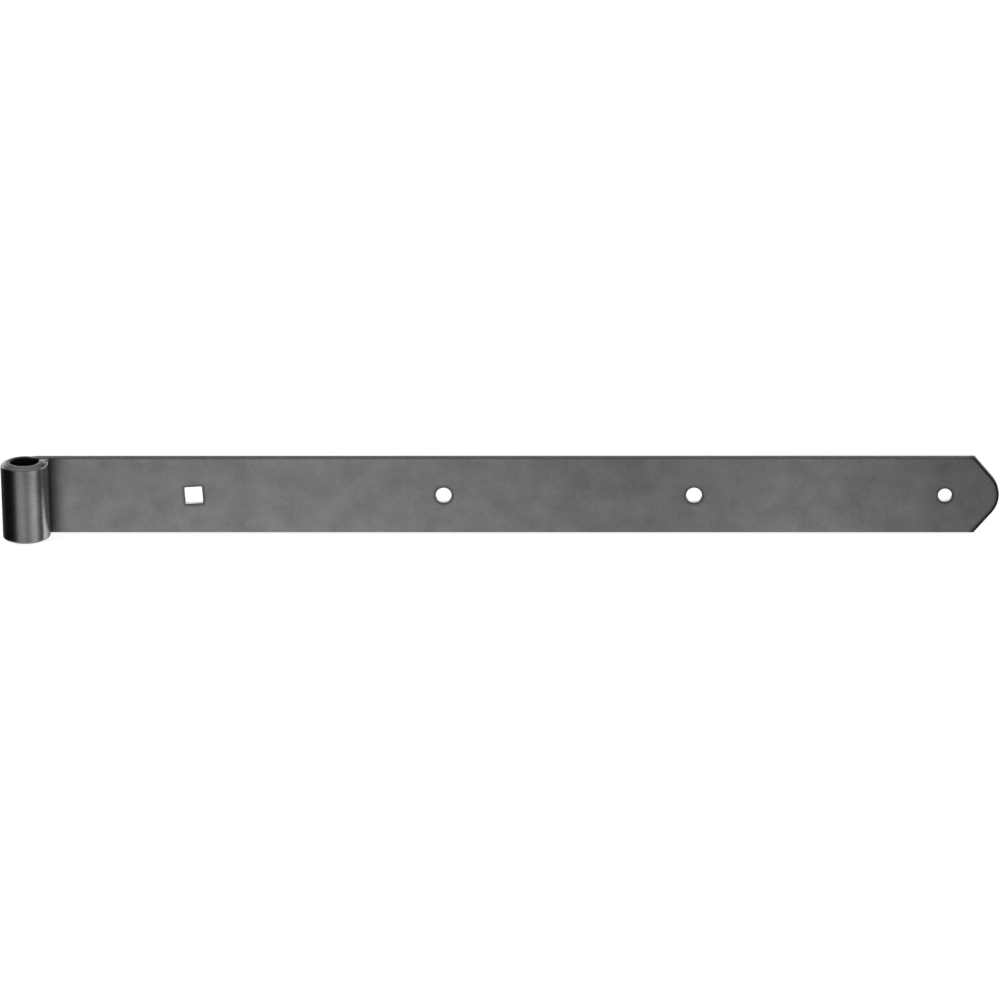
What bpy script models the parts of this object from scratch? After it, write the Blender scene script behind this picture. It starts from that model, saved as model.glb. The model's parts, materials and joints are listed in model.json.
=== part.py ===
"""One leaf of a strap hinge: a flat steel bar whose end is rolled into an eye for a 14 mm pintle pin.

The leaf is a single piece of steel. +Z runs up along the eye's axis, +X along the strap to its tip,
and +Y out of the flat back that lies against the gate. The eye is rolled forwards, towards -Y.
The origin is on the eye's axis, in the plane of its lower bearing face.
"""

import math

import bmesh
import bpy
from mathutils import Matrix, Vector

# Driving dimensions, in metres and degrees.
NAME = "strap_leaf"
WIDTH = 0.040  # of the bar, which stands on edge
THICKNESS = 0.005
REACH = 0.497  # from the eye's axis to the tip
EYE_BORE = 0.0143  # a 14 mm pin turns in it
ROLL_TURN = 274  # how far the bar is bent, after which its end runs straight to the seam
SEAM_GAP = 0.00035  # left between the bar's end and the strap's front

UPSET = 0.0006  # how far bending swells the bar's edges beside the bore
DRAWN_IN = 0.0007  # how far it draws them in at the eye's outside
LAND = 0.0022  # width of the flat bearing ring beside the bore
UPSET_RUN = 0.005  # length over which the swelling fades into the strap, and into the bar's straight end

SQUARE_HOLE = 0.009  # for the square neck of an M8 carriage bolt
SQUARE_HOLE_X = 0.0855
SQUARE_HOLE_TWIST = 3.5  # anticlockwise, seen from the front: the punch sat a little askew
HOLE_PITCH = 0.128
ROUND_HOLES = (0.008, 0.008, 0.007)  # diameters, from the eye to the tip

NOSE_RADIUS = 0.0144
TIP_SLANT = 40.4  # of the sheared sides, from the width direction

EDGE_ROUND = 0.0006
HOLE_ROUND = 0.0003

# Fineness of the round stretches.
ROLL_STEPS = 54
NOSE_STEPS = 10
HOLE_SIDES = 48
BEVEL_SEGMENTS = 2

# What follows from them.
BORE_R = EYE_BORE / 2
EYE_R = BORE_R + THICKNESS
MEAN_R = (BORE_R + EYE_R) / 2
BACK_Y = EYE_R
FRONT_Y = EYE_R - THICKNESS
MID_Z = UPSET + WIDTH / 2
TURN = math.radians(ROLL_TURN)
ROLL_LENGTH = MEAN_R * TURN
OVERTURN = TURN - math.radians(270)
END_RUN = (FRONT_Y - SEAM_GAP - EYE_R * math.sin(OVERTURN)) / math.cos(OVERTURN)
BAR_END = -ROLL_LENGTH - END_RUN
LAND_Y = FRONT_Y + LAND
PUNCH_LENGTH = 3 * THICKNESS


def new_collection(name):
    collection = bpy.data.collections.new(name)
    bpy.context.scene.collection.children.link(collection)
    return collection


def steel():
    material = bpy.data.materials.new("bare_steel")
    material.use_nodes = True
    shader = material.node_tree.nodes["Principled BSDF"]
    shader.inputs["Base Color"].default_value = (0.36, 0.36, 0.36, 1)
    shader.inputs["Metallic"].default_value = 1
    shader.inputs["Roughness"].default_value = 0.42
    return material


def outline():
    """The bar's outline before it is rolled, as (along the bar, across it) from its middle line."""
    turn = math.radians(TIP_SLANT)
    half = WIDTH / 2
    nose = []
    for step in range(NOSE_STEPS + 1):
        angle = turn - 2 * turn * step / NOSE_STEPS
        nose.append((REACH - NOSE_RADIUS * (1 - math.cos(angle)), NOSE_RADIUS * math.sin(angle)))
    # Each sheared side runs off the nose along its tangent, up to the bar's edge.
    start_x, start_y = nose[0]
    shoulder_x = start_x - (half - start_y) * math.tan(turn)
    upper_edge = [(BAR_END, half), (shoulder_x, half)]
    lower_edge = [(shoulder_x, -half), (BAR_END, -half)]
    return upper_edge + nose + lower_edge


def flat_bar(collection):
    """The bar standing on edge with its back at BACK_Y, as a welded mesh."""
    curve = bpy.data.curves.new("bar_outline", "CURVE")
    curve.dimensions = "2D"
    curve.fill_mode = "BOTH"
    curve.extrude = THICKNESS / 2
    points = outline()
    spline = curve.splines.new("POLY")
    spline.points.add(len(points) - 1)
    for point, (along, across) in zip(spline.points, points):
        point.co = (along, across, 0, 1)
    spline.use_cyclic_u = True
    guide = bpy.data.objects.new("bar_outline", curve)
    collection.objects.link(guide)
    bpy.context.view_layer.update()
    mesh = bpy.data.meshes.new_from_object(guide.evaluated_get(bpy.context.evaluated_depsgraph_get()))
    bpy.data.objects.remove(guide)
    mesh.name = NAME
    bm = bmesh.new()
    bm.from_mesh(mesh)
    bmesh.ops.remove_doubles(bm, verts=bm.verts, dist=1e-6)
    upright = Matrix.Translation((0, BACK_Y - THICKNESS / 2, MID_Z)) @ Matrix.Rotation(math.pi / 2, 4, "X")
    bmesh.ops.transform(bm, matrix=upright, verts=bm.verts)
    bmesh.ops.dissolve_limit(bm, angle_limit=math.radians(1), verts=bm.verts, edges=bm.edges)
    bmesh.ops.recalc_face_normals(bm, faces=bm.faces)
    bm.to_mesh(mesh)
    bm.free()
    return mesh


def slice_bar(bm, point, normal):
    geometry = bm.verts[:] + bm.edges[:] + bm.faces[:]
    bmesh.ops.bisect_plane(bm, geom=geometry, dist=1e-7, plane_co=point, plane_no=normal)


def swell(depth):
    """How far the bar's edge moves out at this depth in the eye's wall, from the bore to the outside."""
    if depth <= LAND:
        return UPSET
    return UPSET - (UPSET + DRAWN_IN) * (depth - LAND) / (THICKNESS - LAND)


def rolled(place):
    """Where a point of the straight bar goes when the bar's end is rolled round the pin."""
    before = max(place.x, 0)
    beyond = max(-place.x - ROLL_LENGTH, 0)
    share = max(1 - (before + beyond) / UPSET_RUN, 0)
    across = (place.z - MID_Z) / (WIDTH / 2)
    z = place.z + share * swell(place.y - FRONT_Y) * across
    angle = min(max(-place.x / MEAN_R, 0), TURN)
    out = Vector((-math.sin(angle), math.cos(angle), 0))
    along = Vector((-math.cos(angle), -math.sin(angle), 0))
    return place.y * out + (beyond - before) * along + Vector((0, 0, z))


def roll_eye(mesh):
    bm = bmesh.new()
    bm.from_mesh(mesh)
    for step in range(1, ROLL_STEPS + 1):
        slice_bar(bm, (-ROLL_LENGTH * step / ROLL_STEPS, 0, 0), (1, 0, 0))
    for x in (0, UPSET_RUN, -ROLL_LENGTH - UPSET_RUN):
        slice_bar(bm, (x, 0, 0), (1, 0, 0))
    slice_bar(bm, (0, LAND_Y, 0), (0, 1, 0))
    for vert in bm.verts:
        vert.co = rolled(vert.co)
    bmesh.ops.recalc_face_normals(bm, faces=bm.faces)
    bm.to_mesh(mesh)
    bm.free()


def cutter(collection, name, bm, x, twist=0.0):
    """A punch of this shape through the strap at x."""
    mesh = bpy.data.meshes.new(name)
    bm.to_mesh(mesh)
    bm.free()
    punch = bpy.data.objects.new(name, mesh)
    punch.location = (x, BACK_Y - THICKNESS / 2, MID_Z)
    punch.rotation_euler = (math.pi / 2, -math.radians(twist), 0)
    punch.hide_render = True
    punch.display_type = "WIRE"
    collection.objects.link(punch)
    return punch


def round_punch(diameter):
    bm = bmesh.new()
    radius = diameter / 2
    bmesh.ops.create_cone(
        bm, cap_ends=True, segments=HOLE_SIDES, radius1=radius, radius2=radius, depth=PUNCH_LENGTH
    )
    return bm


def square_punch(side):
    bm = bmesh.new()
    bmesh.ops.create_cube(bm, size=1, matrix=Matrix.Diagonal((side, side, PUNCH_LENGTH, 1)))
    return bm


def add_bevel(leaf, name, width):
    """Rounds each edge that is sharper than a bevel's own segments, so a second one meets only new edges."""
    bevel = leaf.modifiers.new(name, "BEVEL")
    bevel.width = width
    bevel.segments = BEVEL_SEGMENTS
    bevel.limit_method = "ANGLE"
    bevel.angle_limit = math.radians(32)


def main():
    for old in list(bpy.data.objects):
        bpy.data.objects.remove(old)
    parts = new_collection("strap_hinge_leaf")
    cutters = new_collection("cutters")

    mesh = flat_bar(cutters)
    roll_eye(mesh)
    leaf = bpy.data.objects.new(NAME, mesh)
    leaf.data.materials.append(steel())
    parts.objects.link(leaf)
    add_bevel(leaf, "rolled_edges", EDGE_ROUND)

    square = square_punch(SQUARE_HOLE)
    punches = [cutter(cutters, "punch_square", square, SQUARE_HOLE_X, SQUARE_HOLE_TWIST)]
    for index, diameter in enumerate(ROUND_HOLES, start=1):
        x = SQUARE_HOLE_X + HOLE_PITCH * index
        punches.append(cutter(cutters, f"punch_round_{index}", round_punch(diameter), x))
    for punch in punches:
        cut = leaf.modifiers.new(punch.name, "BOOLEAN")
        cut.operation = "DIFFERENCE"
        cut.solver = "EXACT"
        cut.object = punch
    add_bevel(leaf, "hole_rims", HOLE_ROUND)


main()
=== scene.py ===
import json
import math

import bmesh
import bpy
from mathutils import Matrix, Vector, noise


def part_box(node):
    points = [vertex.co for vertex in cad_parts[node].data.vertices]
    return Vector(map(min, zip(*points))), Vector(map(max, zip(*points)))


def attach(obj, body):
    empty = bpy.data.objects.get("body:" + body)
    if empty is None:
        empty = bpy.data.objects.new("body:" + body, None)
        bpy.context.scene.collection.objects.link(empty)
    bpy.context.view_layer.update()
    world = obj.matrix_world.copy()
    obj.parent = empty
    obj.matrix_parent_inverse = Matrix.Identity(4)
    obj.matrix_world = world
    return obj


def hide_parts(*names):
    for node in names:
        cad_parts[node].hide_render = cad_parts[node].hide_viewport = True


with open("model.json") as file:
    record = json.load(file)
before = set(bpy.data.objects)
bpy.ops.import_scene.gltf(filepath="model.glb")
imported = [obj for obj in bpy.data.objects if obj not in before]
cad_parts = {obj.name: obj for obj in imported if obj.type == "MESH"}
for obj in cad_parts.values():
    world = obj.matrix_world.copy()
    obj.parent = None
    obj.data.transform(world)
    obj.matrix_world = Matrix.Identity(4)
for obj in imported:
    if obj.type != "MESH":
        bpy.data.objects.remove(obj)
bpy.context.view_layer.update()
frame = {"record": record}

# Sizes in metres. +X runs along the strap to its tip, +Y out of its flat back, +Z up the eye's axis.
MM = 0.001
NODE = "strap_leaf"
LOW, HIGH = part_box(NODE)
REACH = HIGH.x
EYE_R = -LOW.x
MID_Z = (LOW.z + HIGH.z) / 2
THICKNESS = 5 * MM
FRONT_Y = HIGH.y - THICKNESS
MEAN_R = EYE_R - THICKNESS / 2
UPSET = 0.6 * MM  # how far bending swells the bar's edges beside the bore
DRAWN_IN = 0.7 * MM  # how far it draws them in at the eye's outside
LAND = 2.2 * MM  # width of the flat bearing ring beside the bore
UPSET_RUN = 5 * MM
HALF_WIDTH = (HIGH.z - LOW.z) / 2 - UPSET
ROLL_TURN = math.radians(274)
ROLL_LENGTH = MEAN_R * ROLL_TURN
SEAM_GAP = 0.35 * MM
OVERTURN = ROLL_TURN - math.radians(270)
END_RUN = (FRONT_Y - SEAM_GAP - EYE_R * math.sin(OVERTURN)) / math.cos(OVERTURN)
BAR_END = -ROLL_LENGTH - END_RUN

NOSE_RADIUS = 14.4 * MM
TIP_SLANT = math.radians(40.4)
EDGE_ROUND = 0.6 * MM

# Holes: the middle of each opening in the record, with the punch's nominal size.
SQUARE_SIDE = 9 * MM
SQUARE_CORNER = 0.5 * MM
SQUARE_TWIST = math.radians(3.5)
ROUND_DIAMETERS = {"round_hole_1": 8 * MM, "round_hole_2": 8 * MM, "tip_hole": 7 * MM}
ROLLOVER_DEPTH = 0.26 * MM  # how far the punch drags the front down at a hole's rim
ROLLOVER_REACH = 0.8 * MM
ROLLOVER_POWER = 1.3  # how steeply that fades with the distance from the rim
NEAR_HOLE = 12 * MM  # beyond this distance from its middle, a hole has no effect on the front
# A punched wall from front to back, as (widening of the hole, depth) in mm: rounded in, then opening evenly.
HOLE_WALL = [
    (0.20, 0.26), (0.10, 0.32), (0.04, 0.42), (0.01, 0.56), (0.00, 0.70), (0.04, 1.10), (0.08, 1.50),
    (0.12, 1.90), (0.16, 2.30), (0.20, 2.70), (0.24, 3.10), (0.28, 3.50), (0.32, 3.90), (0.36, 4.30),
    (0.40, 4.65), (0.43, 4.82), (0.49, 4.94), (0.60, 5.00),
]
CUT_FROM = (0.35, 0.60)  # depths in mm over which the dark rim turns into the bare, cut wall
TORN_FROM = (1.7, 2.3)  # depths in mm over which the cut wall turns into a torn one
TORN_RAGGED = 0.03 * MM  # how far the torn wall wanders in and out
TORN_GRAIN = 0.6 * MM
TORN_STRETCH = 0.3  # the grain runs through the bar, so it changes more slowly that way

# Worked metal is darker. 1 is a sheared edge.
HALO = 0.58  # how worked a hole's rim is
HALO_REACH = 2.0 * MM
SHEARED_REACH = (2.3 * MM, 1.1 * MM)  # how far it shows along the tip's lower and its upper side
SHEARED_RUN = 5 * MM  # and how far it runs on along the bar's long edges

# Fineness of the mesh.
ACROSS = 40  # faces across the bar, and along a hole's cell
ROLL_STEP = 0.3 * MM  # a face's length along the bar in the eye
FINE_STEP = 0.6 * MM  # in the strap beside the eye
FINE_RUN = 8 * MM  # which is this long
RUN_STEP = 2.4 * MM  # in the rest of the strap
EDGE_STEP = 0.5 * MM  # and through the bar, on its edges
NOSE_ROWS = 14
SUPPORT = 0.18 * MM  # a narrow row of faces along each long edge
CORNER_STEPS = 6
TOUCH = 0.01 * MM
# The rings of a hole's cell, as shares of the way from its rim to its border.
HOLE_SHARES = (0, 0.008, 0.018, 0.032, 0.05, 0.075, 0.11, 0.16, 0.23, 0.33, 0.46, 0.62, 0.8, 0.92, 0.97, 1)


def smooth(t):
    """Goes smoothly from 0 to 1 as t does."""
    t = min(max(t, 0), 1)
    return t * t * (3 - 2 * t)


def passed(value, limits):
    """Goes smoothly from 0 to 1 as value goes from the first limit to the second."""
    start, end = limits
    return smooth((value - start) / (end - start))


# ---------------------------------------------------------------- the bar, laid out flat

# Flat, the bar is (s, w): s along it from the eye's tangent point, w across it from its middle line.
HALF = HALF_WIDTH - EDGE_ROUND
NOSE_CENTRE = REACH - NOSE_RADIUS
NOSE_INNER = NOSE_RADIUS - EDGE_ROUND
TANGENT_W = NOSE_INNER * math.sin(TIP_SLANT)
TANGENT_S = NOSE_CENTRE + NOSE_INNER * math.cos(TIP_SLANT)
SHOULDER_S = TANGENT_S - (HALF - TANGENT_W) * math.tan(TIP_SLANT)
END_S = BAR_END + EDGE_ROUND


def tip_edge(w):
    """Where the flat face ends at the tip."""
    if abs(w) > TANGENT_W:
        return SHOULDER_S + (HALF - abs(w)) * math.tan(TIP_SLANT)
    return NOSE_CENTRE + math.sqrt(NOSE_INNER**2 - w**2)


def stations(start, end, step):
    count = max(round((end - start) / step), 1)
    return [start + (end - start) * i / count for i in range(count + 1)]


def merged(*runs):
    """Runs of stations that share their ends, as one list."""
    out = list(runs[0])
    for run in runs[1:]:
        out += run[1:]
    return out


W_STATIONS = merged(
    [-HALF, -HALF + SUPPORT],
    stations(-HALF + SUPPORT, HALF - SUPPORT, 2 * HALF / ACROSS),
    [HALF - SUPPORT, HALF],
)


class Hole:
    """A hole in a cell as wide as the bar, with a ray from its middle to each point of the cell's border."""

    def __init__(self, name, centre, start, end):
        self.name = name
        self.centre = centre
        self.start = start
        self.end = end
        self.rays = []
        for s, w in self.border():
            self.rays.append((Vector((s - centre, w)).normalized(), math.hypot(s - centre, w)))

    def border(self):
        """The cell's border, going round once from its lower left corner."""
        along = stations(self.start, self.end, (self.end - self.start) / ACROSS)
        up = W_STATIONS
        lower = [(s, up[0]) for s in along[:-1]]
        right = [(self.end, w) for w in up[:-1]]
        upper = [(s, up[-1]) for s in reversed(along[1:])]
        left = [(self.start, w) for w in reversed(up[1:])]
        return lower + right + upper + left

    def radius(self, ray):
        """From the hole's middle to its rim along a ray."""
        if self.name != "square_hole":
            return ROUND_DIAMETERS[self.name] / 2
        angle = (math.atan2(ray.y, ray.x) - SQUARE_TWIST) % (math.pi / 2)
        angle = min(angle, math.pi / 2 - angle)
        side = SQUARE_SIDE / 2
        inner = side - SQUARE_CORNER
        if side * math.tan(angle) <= inner:
            return side / math.cos(angle)
        reach = inner * (math.cos(angle) + math.sin(angle))
        return reach + math.sqrt(reach**2 - 2 * inner**2 + SQUARE_CORNER**2)

    def ring(self, widening):
        return [Vector((self.centre, 0)) + ray * (self.radius(ray) + widening) for ray, _ in self.rays]


def holes():
    """The holes in order along the bar. The last one's cell ends where the tip begins."""
    openings = {o["name"]: o["box_m"] for o in frame["record"]["physics"]["openings"]}
    found = []
    for name in ("square_hole", *ROUND_DIAMETERS):
        low, high = openings[name]
        centre = (low[0] + high[0]) / 2
        end = SHOULDER_S if name == "tip_hole" else centre + HALF
        found.append(Hole(name, centre, centre - HALF, end))
    return found


HOLES = holes()


class Bar:
    """The flat bar as a mesh in (s, depth, w). Its front has depth 0 and becomes the inside of the eye."""

    def __init__(self):
        self.bm = bmesh.new()
        self.worked = self.bm.verts.layers.float.new("worked")
        self.wall = self.bm.verts.layers.float.new("wall")

    def vert(self, place, depth, worked=0.0, wall=0.0):
        made = self.bm.verts.new((place[0], depth, place[1]))
        made[self.worked] = worked
        made[self.wall] = wall
        return made

    def face(self, corners):
        kept = [v for i, v in enumerate(corners) if v is not corners[i - 1]]
        if len(kept) > 2:
            self.bm.faces.new(kept)

    def band(self, first, second):
        for i in range(len(first)):
            self.face((first[i - 1], first[i], second[i], second[i - 1]))

    def sheet(self, depth, widening):
        """One flat face of the bar with its holes. Gives its outer loop and each hole's loop."""
        spots = {}

        def spot(s, w):
            key = (round(s / MM, 4), round(w / MM, 4))
            if key not in spots:
                spots[key] = self.vert((s, w), depth)
            return spots[key]

        def grid(rows):
            for row, following in zip(rows, rows[1:]):
                for i in range(len(row) - 1):
                    self.face((row[i], row[i + 1], following[i + 1], following[i]))

        eye_run = merged(
            [END_S, END_S + SUPPORT],
            stations(END_S + SUPPORT, 0, ROLL_STEP),
            stations(0, FINE_RUN, FINE_STEP),
            stations(FINE_RUN, HOLES[0].start, RUN_STEP),
        )
        upper = list(eye_run)
        grid([[spot(s, w) for w in W_STATIONS] for s in eye_run])
        loops = []
        for hole, following in zip(HOLES, HOLES[1:] + [None]):
            inner = hole.ring(widening)
            border = hole.border()
            rings = []
            for share in HOLE_SHARES:
                if share == 1:
                    rings.append([spot(*place) for place in border])
                else:
                    rings.append([self.vert(a.lerp(Vector(b), share), depth) for a, b in zip(inner, border)])
            for a, b in zip(rings, rings[1:]):
                self.band(a, b)
            loops.append(rings[0])
            upper += stations(hole.start, hole.end, (hole.end - hole.start) / ACROSS)[1:]
            if following:
                run = stations(hole.end, following.start, RUN_STEP)
                grid([[spot(s, w) for w in W_STATIONS] for s in run])
                upper += run[1:]
        nose = []
        for row in range(NOSE_ROWS + 1):
            share = 1 - (1 - row / NOSE_ROWS) ** 2
            nose.append([spot(SHOULDER_S + (tip_edge(w) - SHOULDER_S) * share, w) for w in W_STATIONS])
        grid(nose)
        outer = [spot(s, HALF) for s in upper]
        outer += list(reversed(nose[-1][1:-1]))
        outer += [spot(s, -HALF) for s in reversed(upper)]
        outer += [spot(END_S, w) for w in W_STATIONS[1:-1]]
        return outer, loops

    def edge(self, front, back):
        """The bar's edge between the outer loops, rounded at both corners."""
        flat = [Vector((v.co.x, v.co.z)) for v in front]
        outward = []
        for i, place in enumerate(flat):
            before = (place - flat[i - 1]).normalized()
            after = (flat[(i + 1) % len(flat)] - place).normalized()
            normal = Vector((-before.y - after.y, before.x + after.x))
            sharpness = 1 + before.dot(after)
            outward.append(normal / sharpness)
        profile = []
        for step in range(1, CORNER_STEPS + 1):
            angle = math.pi / 2 * step / CORNER_STEPS
            profile.append((EDGE_ROUND * math.sin(angle), EDGE_ROUND * (1 - math.cos(angle))))
        middle = stations(EDGE_ROUND, THICKNESS - EDGE_ROUND, EDGE_STEP)[1:-1]
        mirrored = [(out, THICKNESS - depth) for out, depth in reversed(profile)]
        profile += [(EDGE_ROUND, depth) for depth in middle] + mirrored
        last = front
        for out, depth in profile:
            ring = []
            for place, normal in zip(flat, outward):
                # The tip's sides and the bar's end are sheared, and the long edges are as rolled.
                worked = smooth(1 - (SHOULDER_S - place.x) / SHEARED_RUN)
                if place.x < END_S + TOUCH:
                    worked = 1
                ring.append(self.vert(place + normal * out, depth, worked))
            self.band(last, ring)
            last = ring
        self.band(last, back)

    def punched(self, hole, front, back):
        """A hole's wall between its loops on the front and the back."""
        last = front
        for widening, depth in HOLE_WALL[1:-1]:
            bare = passed(depth, CUT_FROM)
            torn = passed(depth, TORN_FROM)
            ring = []
            for (ray, _), place in zip(hole.rays, hole.ring(widening * MM)):
                grain = Vector((place.x, depth * TORN_STRETCH * MM, place.y)) / TORN_GRAIN
                place += ray * (torn * TORN_RAGGED * noise.noise(grain))
                ring.append(self.vert(place, depth * MM, HALO * (1 - bare), bare))
            self.band(last, ring)
            last = ring
        self.band(last, back)


def swell(depth):
    """How far the bar's edge moves out at this depth in the eye's wall."""
    if depth <= LAND:
        return UPSET
    return UPSET - (UPSET + DRAWN_IN) * (depth - LAND) / (THICKNESS - LAND)


def rolled(s, depth, w):
    """Where a point of the flat bar lies once its end is rolled into the eye."""
    before = max(s, 0)
    beyond = max(-s - ROLL_LENGTH, 0)
    share = smooth(1 - (before + beyond) / UPSET_RUN)
    z = MID_Z + w * (1 + share * swell(depth) / HALF_WIDTH)
    angle = min(max(-s / MEAN_R, 0), ROLL_TURN)
    out = Vector((-math.sin(angle), math.cos(angle), 0))
    along = Vector((-math.cos(angle), -math.sin(angle), 0))
    return (FRONT_Y + depth) * out + (beyond - before) * along + Vector((0, 0, z))


def from_hole(s, w):
    """The distance on the front from the rim of the hole that is near, if one is."""
    for hole in HOLES:
        away = Vector((s - hole.centre, w))
        if away.length < NEAR_HOLE:
            return max(away.length - hole.radius(away.normalized()) - HOLE_WALL[0][0] * MM, 0)
    return math.inf


def from_tip(s, w):
    """The distance from the tip's sheared edge, inwards from where its rounding starts."""
    to_side = (SHOULDER_S - s) * math.cos(TIP_SLANT) + (HALF - abs(w)) * math.sin(TIP_SLANT)
    if abs(w) > (s - NOSE_CENTRE) * math.tan(TIP_SLANT):
        return to_side
    return NOSE_INNER - math.hypot(s - NOSE_CENTRE, w)


def work_front(s, w):
    """How worked the front is at a point, and how far a punch has dragged it down there."""
    gap = from_hole(s, w)
    lower, upper = SHEARED_REACH
    reach = lower + (upper - lower) * smooth(0.5 + w / (2 * HALF))
    worked = max(HALO * smooth(1 - gap / HALO_REACH), smooth(1 - from_tip(s, w) / reach))
    return worked, ROLLOVER_DEPTH * math.exp(-((gap / ROLLOVER_REACH) ** ROLLOVER_POWER))


def make_leaf():
    """The whole leaf. Its attribute "bar" keeps each point's place on the flat bar, in millimetres."""
    bar = Bar()
    front, front_holes = bar.sheet(0, HOLE_WALL[0][0] * MM)
    back, back_holes = bar.sheet(THICKNESS, HOLE_WALL[-1][0] * MM)
    bar.edge(front, back)
    for hole, a, b in zip(HOLES, front_holes, back_holes):
        bar.punched(hole, a, b)
    bm = bar.bm
    bmesh.ops.recalc_face_normals(bm, faces=bm.faces)
    place = bm.verts.layers.float_vector.new("bar")
    for v in bm.verts:
        s, depth, w = v.co
        if depth == 0:
            v[bar.worked], depth = work_front(s, w)
        v[place] = (s / MM, w / MM, depth / MM)
        v.co = rolled(s, depth, w)
    mesh = bpy.data.meshes.new("leaf")
    bm.to_mesh(mesh)
    bm.free()
    mesh.shade_smooth()
    leaf = bpy.data.objects.new("leaf_steel", mesh)
    bpy.context.scene.collection.objects.link(leaf)
    return leaf


# ---------------------------------------------------------------- node helpers


def add(tree, kind, inputs=None, **settings):
    node = tree.nodes.new(kind)
    for name, value in settings.items():
        setattr(node, name, value)
    for key, value in (inputs or {}).items():
        if isinstance(value, bpy.types.NodeSocket):
            tree.links.new(value, node.inputs[key])
        else:
            node.inputs[key].default_value = value
    return node


def calc(tree, operation, a, b=0.0, c=0.0):
    return add(tree, "ShaderNodeMath", {0: a, 1: b, 2: c}, operation=operation).outputs[0]


def fade(tree, value, start, end, low=0.0, high=1.0):
    """Goes smoothly from low to high as value goes from start to end."""
    inputs = {"Value": value, "From Min": start, "From Max": end, "To Min": low, "To Max": high}
    return add(tree, "ShaderNodeMapRange", inputs, interpolation_type="SMOOTHSTEP").outputs[0]


def blend_values(tree, share, a, b):
    return add(tree, "ShaderNodeMix", {0: share, 2: a, 3: b}).outputs[0]


def vary(tree, base, pattern, amount):
    """Adds a noise that runs from 0 to 1 to base, as half of amount either way."""
    return calc(tree, "MULTIPLY_ADD", calc(tree, "SUBTRACT", pattern, 0.5), amount, base)


def lessen(tree, value, mask, share):
    """Multiplies value by share where mask is 1."""
    return calc(tree, "MULTIPLY", value, fade(tree, mask, 0, 1, 1, share))


def level_ramp(tree, value, levels, interpolation):
    """Turns value into a level, from stops given as (value, level), both from 0 to 1."""
    ramp = add(tree, "ShaderNodeValToRGB", {0: value})
    ramp.color_ramp.interpolation = interpolation
    stops = ramp.color_ramp.elements
    while len(stops) < len(levels):
        stops.new(0.5)
    for stop, (position, level) in zip(stops, levels):
        stop.position = position
        stop.color = (level, level, level, 1)
    return ramp.outputs[0]


# ---------------------------------------------------------------- steel

# Regions of the flat bar, in mm along it, across it from its middle line, or deep from its front. A region's
# look starts at the first number and is complete at the second.
FRONT_DEPTH = (0.9, 0.5)
BORE_ALONG = (12.4, 11.4)  # on the front: the inside of the eye, and the strap in the corner behind it
CORNER_ALONG = (24, 8)  # on the front: the strap beside the eye
OUTSIDE_DEPTH = (1, 4)  # with the next line, the outside of the eye
OUTSIDE_ALONG = (6, -3)
SEAM_ALONG = (-37, -44)  # on the outside: the part that turns back to the strap
MILL_EDGE_ACROSS = (19.75, 19.95)  # with the next line, the strap's long edges
MILL_EDGE_ALONG = (2, 9)

# How much light the bar's skin gives back, as (mm along the bar, level).
SKIN_LENGTH = 500
SKIN = [
    (0, 0.86), (25, 0.93), (100, 0.97), (150, 0.98), (200, 0.92), (315, 0.73), (400, 0.86), (445, 0.71),
    (470, 0.60), (497, 0.57),
]
SKIN_SLOPE = -0.003  # how the level changes per millimetre up the strap

# Base colours, and how much the patterns and the regions change them.
TONE = 0.42
BLOTCHES_TONE = 0.28
MOTTLE_TONE = 0.16
STREAKS_TONE = 0.05
PITS_TONE = -0.06
# Painted shade: the strap's front beside the eye is darkened where the eye shades it.
CORNER_SHADE = 0.22
# Painted shade: the eye's outside next to the strap is darkened as the shade of the crevice there.
SEAM_SHADE = 0.5
# Painted shade: the bore and the strap's front in the corner behind it are darkened as shade in a recess.
BORE_SHADE = 0.05
MILL_EDGE_TONE = 0.11
WORKED_TONE = 0.03
WALL_TONE = 0.40
PITS_NOISE = (0.62, 0.74)  # where their noise is above the first number there is a pit

# The same for the roughness.
ROUGH = 0.42
MOTTLE_ROUGH = 0.16
STREAKS_ROUGH = 0.10
PITS_ROUGH = 0.12
OUTSIDE_ROUGH = 0.28  # rolling round the pin has smoothed the outside of the eye
OUTSIDE_UNEVEN = 0.3
MILL_EDGE_ROUGH = 0.24
WORKED_ROUGH = 0.45
WALL_ROUGH = 0.25

# Heights of the patterns in mm, for the bump.
BLOTCHES_RELIEF = 0.05
MOTTLE_RELIEF = 0.025
STREAKS_RELIEF = 0.012
LINES_RELIEF = 0.004
PITS_RELIEF = -0.02
OUTSIDE_RELIEF = 0.25  # the share of all this that is left on the outside of the eye
BUMP_STRENGTH = 0.6


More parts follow.
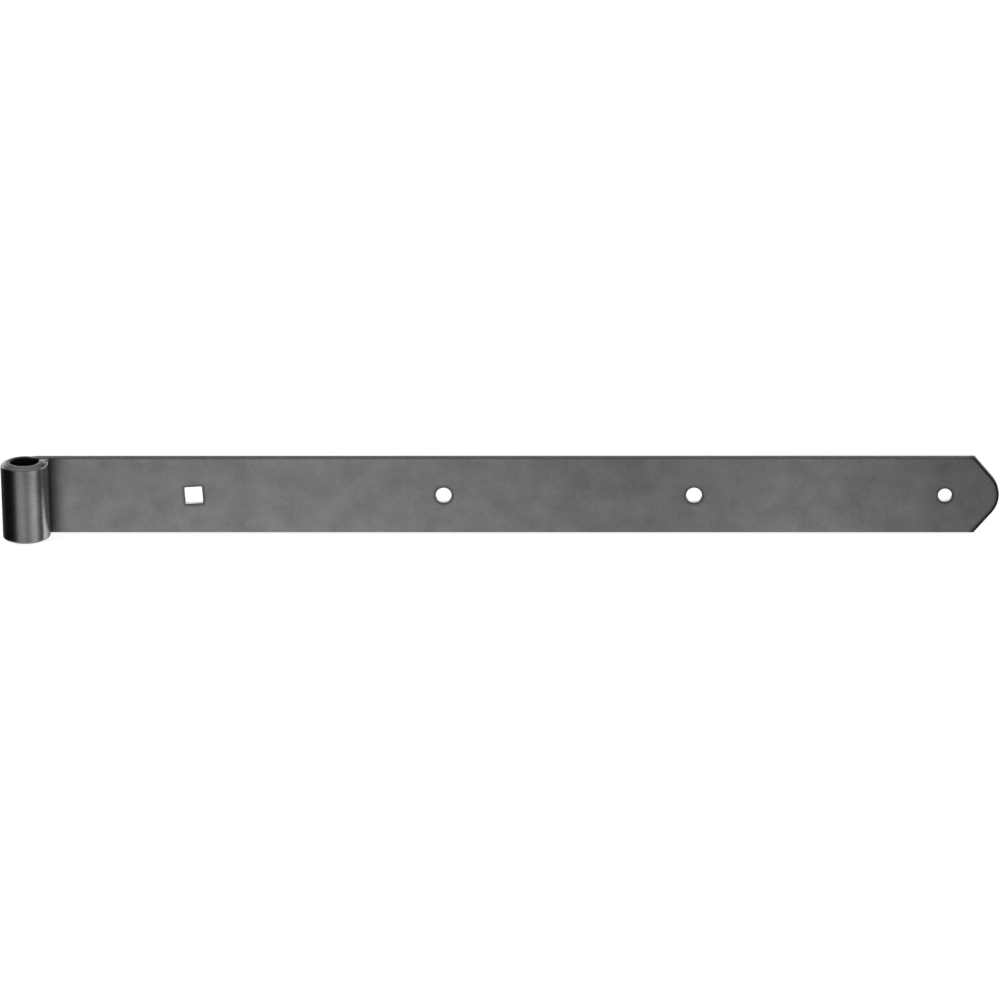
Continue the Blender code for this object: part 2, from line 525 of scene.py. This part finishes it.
def steel():
    material = bpy.data.materials.new("rolled_steel")
    material.use_nodes = True
    tree = material.node_tree
    shader = tree.nodes["Principled BSDF"]
    bar = add(tree, "ShaderNodeAttribute", attribute_name="bar").outputs["Vector"]
    worked = add(tree, "ShaderNodeAttribute", attribute_name="worked").outputs["Fac"]
    wall = add(tree, "ShaderNodeAttribute", attribute_name="wall").outputs["Fac"]
    along, across, depth = add(tree, "ShaderNodeSeparateXYZ", {0: bar}).outputs
    front = fade(tree, depth, *FRONT_DEPTH)
    bore = calc(tree, "MULTIPLY", front, fade(tree, along, *BORE_ALONG))
    corner = calc(tree, "MULTIPLY", front, fade(tree, along, *CORNER_ALONG))
    outside = calc(tree, "MULTIPLY", fade(tree, depth, *OUTSIDE_DEPTH), fade(tree, along, *OUTSIDE_ALONG))
    by_seam = calc(tree, "MULTIPLY", outside, fade(tree, along, *SEAM_ALONG))
    mill_edge = fade(tree, calc(tree, "ABSOLUTE", across), *MILL_EDGE_ACROSS)
    mill_edge = calc(tree, "MULTIPLY", mill_edge, fade(tree, along, *MILL_EDGE_ALONG))

    def pattern(stretch, size, detail, rough=0.5):
        """Noise in the flat bar's own millimetres, so that it follows the bar round the eye."""
        squeeze = {0: bar, 1: (1 / stretch, 1, 1)}
        squeezed = add(tree, "ShaderNodeVectorMath", squeeze, operation="MULTIPLY").outputs[0]
        inputs = {"Vector": squeezed, "Scale": 1 / size, "Detail": detail, "Roughness": rough}
        return add(tree, "ShaderNodeTexNoise", inputs).outputs["Fac"]

    blotches = pattern(stretch=1.2, size=12, detail=4, rough=0.55)
    mottle = pattern(stretch=1.1, size=1.8, detail=4, rough=0.6)
    streaks = pattern(stretch=26, size=0.55, detail=3, rough=0.6)
    lines = pattern(stretch=90, size=0.16, detail=2)
    pits = fade(tree, pattern(stretch=1.2, size=0.5, detail=3, rough=0.7), *PITS_NOISE)

    # The tone wanders with the skin. The bore and the corner behind it carry painted shade, the strap beside
    # the eye a painted shade that fades away from it, and the eye's outside by the seam a painted crevice
    # shade.
    # Worked metal is dark too, and the holes' cut walls are bare.
    skin_stops = [(place / SKIN_LENGTH, level) for place, level in SKIN]
    skin = level_ramp(tree, calc(tree, "DIVIDE", along, SKIN_LENGTH), skin_stops, "EASE")
    tone = vary(tree, TONE, blotches, BLOTCHES_TONE)
    tone = vary(tree, tone, mottle, MOTTLE_TONE)
    tone = vary(tree, tone, streaks, STREAKS_TONE)
    tone = calc(tree, "MULTIPLY", tone, skin)
    tone = calc(tree, "MULTIPLY", tone, calc(tree, "MULTIPLY_ADD", across, SKIN_SLOPE, 1))
    tone = calc(tree, "MULTIPLY_ADD", pits, PITS_TONE, tone)
    tone = lessen(tree, tone, corner, CORNER_SHADE)
    tone = lessen(tree, tone, by_seam, SEAM_SHADE)
    tone = blend_values(tree, bore, tone, BORE_SHADE)
    tone = blend_values(tree, mill_edge, tone, MILL_EDGE_TONE)
    tone = blend_values(tree, worked, tone, WORKED_TONE)
    tone = blend_values(tree, wall, tone, WALL_TONE)
    colour = add(tree, "ShaderNodeCombineColor", {0: tone, 1: tone, 2: tone})

    uneven = vary(tree, 0.0, mottle, MOTTLE_ROUGH)
    uneven = vary(tree, uneven, streaks, STREAKS_ROUGH)
    uneven = calc(tree, "MULTIPLY_ADD", pits, PITS_ROUGH, uneven)
    rough = blend_values(tree, outside, ROUGH, OUTSIDE_ROUGH)
    rough = calc(tree, "ADD", rough, lessen(tree, uneven, outside, OUTSIDE_UNEVEN))
    rough = blend_values(tree, mill_edge, rough, MILL_EDGE_ROUGH)
    rough = blend_values(tree, worked, rough, WORKED_ROUGH)
    rough = blend_values(tree, wall, rough, WALL_ROUGH)

    relief = calc(tree, "MULTIPLY", mottle, MOTTLE_RELIEF)
    relief = calc(tree, "MULTIPLY_ADD", blotches, BLOTCHES_RELIEF, relief)
    relief = calc(tree, "MULTIPLY_ADD", streaks, STREAKS_RELIEF, relief)
    relief = calc(tree, "MULTIPLY_ADD", lines, LINES_RELIEF, relief)
    relief = calc(tree, "MULTIPLY_ADD", pits, PITS_RELIEF, relief)
    relief = lessen(tree, relief, outside, OUTSIDE_RELIEF)
    bump = add(tree, "ShaderNodeBump", {"Strength": BUMP_STRENGTH, "Distance": MM, "Height": relief})

    tree.links.new(colour.outputs[0], shader.inputs["Base Color"])
    tree.links.new(rough, shader.inputs["Roughness"])
    tree.links.new(bump.outputs[0], shader.inputs["Normal"])
    shader.inputs["Metallic"].default_value = 1
    return material


# ---------------------------------------------------------------- studio

# What the metal mirrors. Angles are in degrees: azimuth 0 is in front of the strap and 90 beyond its tip.
# Round the strap, as (azimuth, radiance): a dark flag on the left, soft cards in front, and a bright card
# behind on the right.
AROUND = [
    (-180, 0.7), (-160, 0.25), (-145, 0.05), (-118, 0.02), (-108, 0.0), (-60, 0.0), (-50, 0.01), (-42, 0.10),
    (-33, 0.44), (-14, 0.56), (-4, 0.52), (10, 0.28), (24, 0.42), (36, 0.72), (52, 0.92), (62, 0.55),
    (72, 0.16), (80, 0.03), (95, 0.02), (102, 1.9), (124, 1.7), (140, 0.7), (180, 0.55),
]
BRIGHTEST = 2.4  # a ramp holds levels from 0 to 1
BACKDROP = (1.1, 1.6)  # the lit strip of the sweep behind the strap, on its left and on its right
BACKDROP_TURN = (-0.5, 0.1)  # where it changes from one to the other, by the direction's part along the strap
BACKDROP_SIDE = (105, 125)  # where it starts, away from the front
BACKDROP_RISE = (-12, -5)  # and above the table
CEILING = 0.2  # radiance of the dim ceiling, then how high it starts
CEILING_RISE = (11, 17)
SIDE_LIFT = 14  # how much higher the strip reaches to either side of the middle
SIDE_TURN = (173, 150)
ZENITH = 0.4  # straight overhead
ZENITH_RISE = (45, 65)
TABLE = 0.52  # straight down
TABLE_DROP = (-30, -50)
SURROUND = 1.0  # the white room that the floor and the camera see


def studio_radiance(tree):
    """The studio's light by direction, for the metal to mirror."""
    ray = add(tree, "ShaderNodeTexCoord").outputs["Generated"]
    split = add(tree, "ShaderNodeSeparateXYZ", {0: ray})
    azimuth = calc(tree, "ARCTAN2", split.outputs[0], calc(tree, "MULTIPLY", split.outputs[1], -1))
    turn = calc(tree, "MULTIPLY_ADD", azimuth, 1 / math.tau, 0.5)
    around_stops = [(degrees / 360 + 0.5, radiance / BRIGHTEST) for degrees, radiance in AROUND]
    around = calc(tree, "MULTIPLY", level_ramp(tree, turn, around_stops, "LINEAR"), BRIGHTEST)
    rise = calc(tree, "ARCSINE", split.outputs[2])
    off_front = calc(tree, "ABSOLUTE", azimuth)

    def past(angle, limits):
        start, end = limits
        return fade(tree, angle, math.radians(start), math.radians(end))

    strip = calc(tree, "MULTIPLY", past(off_front, BACKDROP_SIDE), past(rise, BACKDROP_RISE))
    backdrop = fade(tree, split.outputs[0], *BACKDROP_TURN, *BACKDROP)
    lift = calc(tree, "MULTIPLY", past(off_front, SIDE_TURN), math.radians(SIDE_LIFT))
    radiance = blend_values(tree, strip, around, backdrop)
    above_strip = past(calc(tree, "SUBTRACT", rise, lift), CEILING_RISE)
    radiance = blend_values(tree, above_strip, radiance, CEILING)
    radiance = blend_values(tree, past(rise, ZENITH_RISE), radiance, ZENITH)
    return blend_values(tree, past(rise, TABLE_DROP), radiance, TABLE)


def make_world():
    """The metal mirrors the studio, and everything else sees an even white room."""
    world = bpy.data.worlds.new("studio")
    bpy.context.scene.world = world
    world.use_nodes = True
    world.cycles.sampling_method = "NONE"
    tree = world.node_tree
    path = add(tree, "ShaderNodeLightPath")
    strength = blend_values(tree, path.outputs["Is Glossy Ray"], SURROUND, studio_radiance(tree))
    background = tree.nodes["Background"]
    tree.links.new(strength, background.inputs["Strength"])
    background.inputs["Color"].default_value = (1, 1, 1, 1)


FLOOR_SIZE = 12  # from its middle to a side
FLOOR_TONE = 0.15
FLOOR_GLOW = 0.9  # it glows a little, so that it stays white under the leaf


def make_floor():
    mesh = bpy.data.meshes.new("floor")
    bm = bmesh.new()
    bmesh.ops.create_grid(bm, x_segments=1, y_segments=1, size=FLOOR_SIZE)
    bm.to_mesh(mesh)
    bm.free()
    floor = bpy.data.objects.new("floor", mesh)
    bpy.context.scene.collection.objects.link(floor)
    material = bpy.data.materials.new("pale_floor")
    material.use_nodes = True
    shader = material.node_tree.nodes["Principled BSDF"]
    shader.inputs["Base Color"].default_value = (FLOOR_TONE, FLOOR_TONE, FLOOR_TONE, 1)
    shader.inputs["Roughness"].default_value = 1
    shader.inputs["Specular IOR Level"].default_value = 0
    shader.inputs["Emission Color"].default_value = (1, 1, 1, 1)
    shader.inputs["Emission Strength"].default_value = FLOOR_GLOW
    mesh.materials.append(material)
    floor.location.z = LOW.z
    floor.visible_glossy = False


KEY_PLACE = Vector((-0.6, -0.9, 1.6))
KEY_AIM = Vector((0.25, 0, 0))
KEY_SIZE = 1.2
KEY_ENERGY = 6


def make_light():
    """A soft lamp for the floor. The metal doesn't mirror it."""
    light = bpy.data.lights.new("key", "AREA")
    light.size = KEY_SIZE
    light.energy = KEY_ENERGY
    lamp = bpy.data.objects.new("key", light)
    lamp.location = KEY_PLACE
    lamp.rotation_euler = (KEY_AIM - KEY_PLACE).to_track_quat("-Z", "Y").to_euler()
    lamp.visible_glossy = False
    bpy.context.scene.collection.objects.link(lamp)


# ---------------------------------------------------------------- camera

LENS = 176
DISTANCE = 2.5
VIEW_YAW = math.radians(1.22)
VIEW_RISE = math.radians(18.2)
VIEW_ROLL = math.radians(-0.37)
PIVOT = Vector((0.240, FRONT_Y, MID_Z))  # the camera stands off from here, and looks a little to its side
AIM_OFFSET = Vector((2.3 * MM, 0, -2.4 * MM))


def make_camera():
    data = bpy.data.cameras.new("camera")
    data.lens = LENS
    data.clip_start = 0.05
    data.clip_end = 50
    camera = bpy.data.objects.new("camera", data)
    bpy.context.scene.collection.objects.link(camera)
    bpy.context.scene.camera = camera
    level = math.cos(VIEW_RISE)
    back = Vector((math.sin(VIEW_YAW) * level, -math.cos(VIEW_YAW) * level, math.sin(VIEW_RISE)))
    camera.location = PIVOT + back * DISTANCE
    look = (PIVOT + AIM_OFFSET - camera.location).to_track_quat("-Z", "Y")
    camera.rotation_euler = look.to_euler()
    camera.rotation_euler.rotate_axis("Z", VIEW_ROLL)


# ---------------------------------------------------------------- scene


def main():
    make_camera()
    leaf = make_leaf()
    leaf.data.materials.append(steel())
    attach(leaf, "root")
    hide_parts(NODE)
    make_floor()
    make_light()
    make_world()
    bpy.context.scene.view_settings.view_transform = "Standard"


main()
